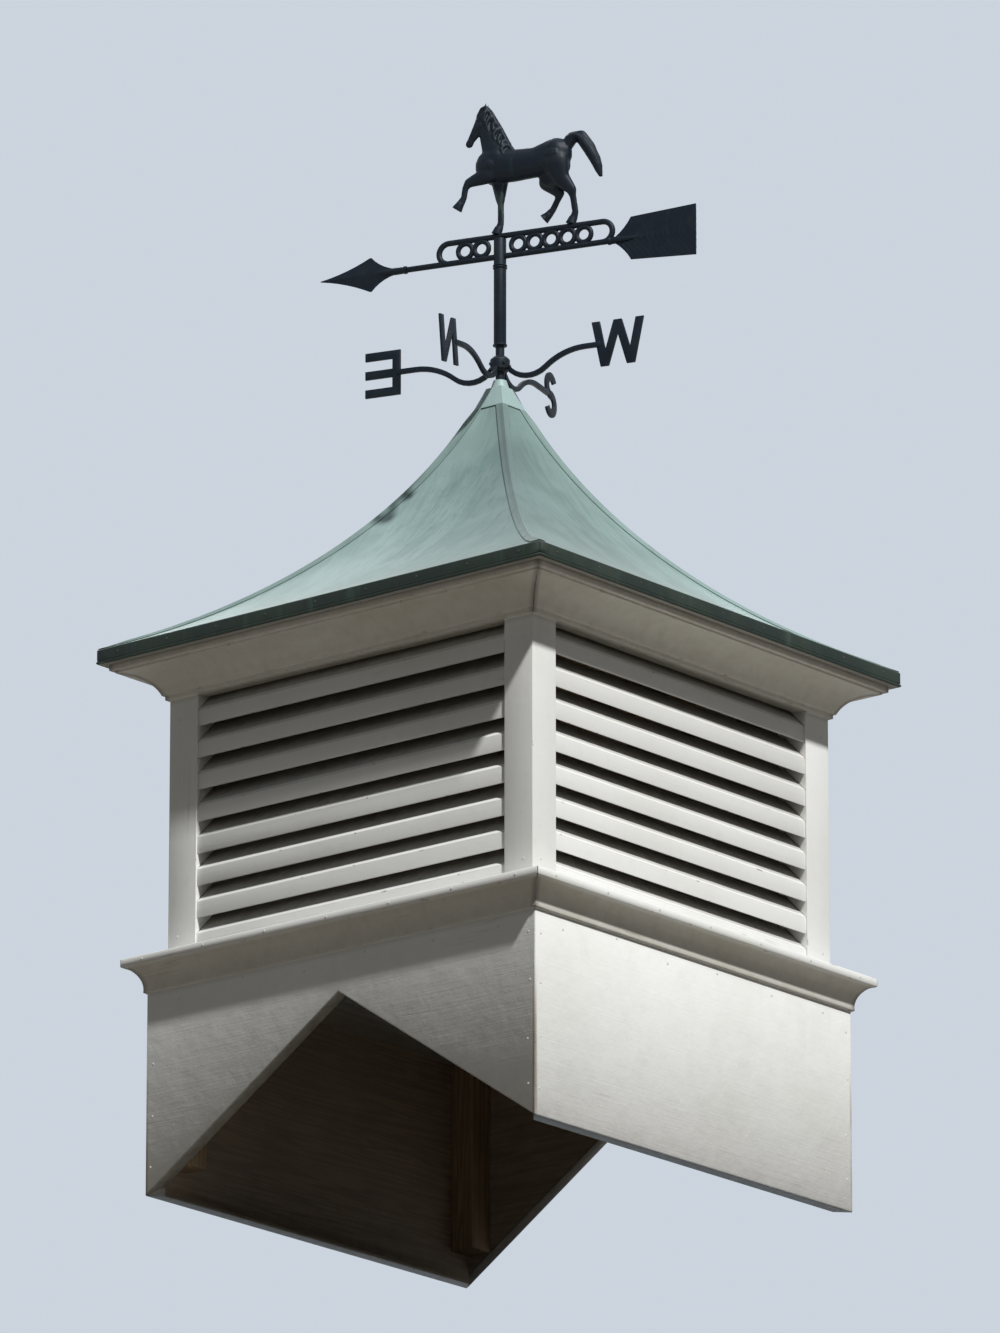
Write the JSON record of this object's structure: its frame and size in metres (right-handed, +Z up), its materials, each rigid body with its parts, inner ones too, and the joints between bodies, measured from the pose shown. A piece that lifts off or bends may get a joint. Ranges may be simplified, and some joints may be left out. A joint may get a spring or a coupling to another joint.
{
  "type": "garage cupola",
  "caption": "White louvred cupola on a saddle base for a roof ridge, with a flared copper roof, compass letters and a turning horse weathervane.",
  "frame": {"origin": "on the axis of the vane's rod, at the level of the base's lowest edge", "axes": "+X along the roof ridge that the base straddles, -Y to the front, +Z up"},
  "size_m": [0.762, 0.762, 1.539],
  "materials": {
    "white_paint": "white exterior paint on wood, slightly weathered",
    "bare_wood": "bare softwood and bent board, darkened with age",
    "green_copper": "sheet copper with a pale green weathered skin, dark at its folded edge",
    "dark_metal": "dark weathered copper and brass, nearly black"
  },
  "bodies": {
    "cupola": {"base_wall_front": "white_paint", "base_wall_right": "white_paint", "base_wall_back": "white_paint", "base_wall_left": "white_paint", "base_corner_blocks": "bare_wood", "sill_front": "white_paint", "sill_right": "white_paint", "sill_back": "white_paint", "sill_left": "white_paint", "post_front_right": "white_paint", "post_back_right": "white_paint", "post_back_left": "white_paint", "post_front_left": "white_paint", "louvres_front": "white_paint", "louvres_right": "white_paint", "louvres_back": "white_paint", "louvres_left": "white_paint", "cornice_front": "white_paint", "cornice_right": "white_paint", "cornice_back": "white_paint", "cornice_left": "white_paint", "eaves_frame": "bare_wood", "roof_ribs": "bare_wood", "king_post": "bare_wood", "roof_deck_front": "bare_wood", "roof_deck_right": "bare_wood", "roof_deck_back": "bare_wood", "roof_deck_left": "bare_wood", "roof_copper_front": "green_copper", "roof_copper_right": "green_copper", "roof_copper_back": "green_copper", "roof_copper_left": "green_copper", "hip_strips": "green_copper", "apex_cap": "green_copper", "vane_rod": "dark_metal", "compass_hub": "dark_metal", "compass_east": "dark_metal", "compass_north": "dark_metal", "compass_west": "dark_metal", "compass_south": "dark_metal"},
    "vane": {"vane_sleeve": "dark_metal", "arrow_shaft": "dark_metal", "arrow_head": "dark_metal", "arrow_tail": "dark_metal", "horse": "dark_metal"}
  },
  "joints": [
    {"name": "vane_spin", "type": "hinge", "parent": "cupola", "child": "vane", "pos_m": [0, 0, 1.25], "axis": [0, 0, 1], "continuous": true}
  ]
}
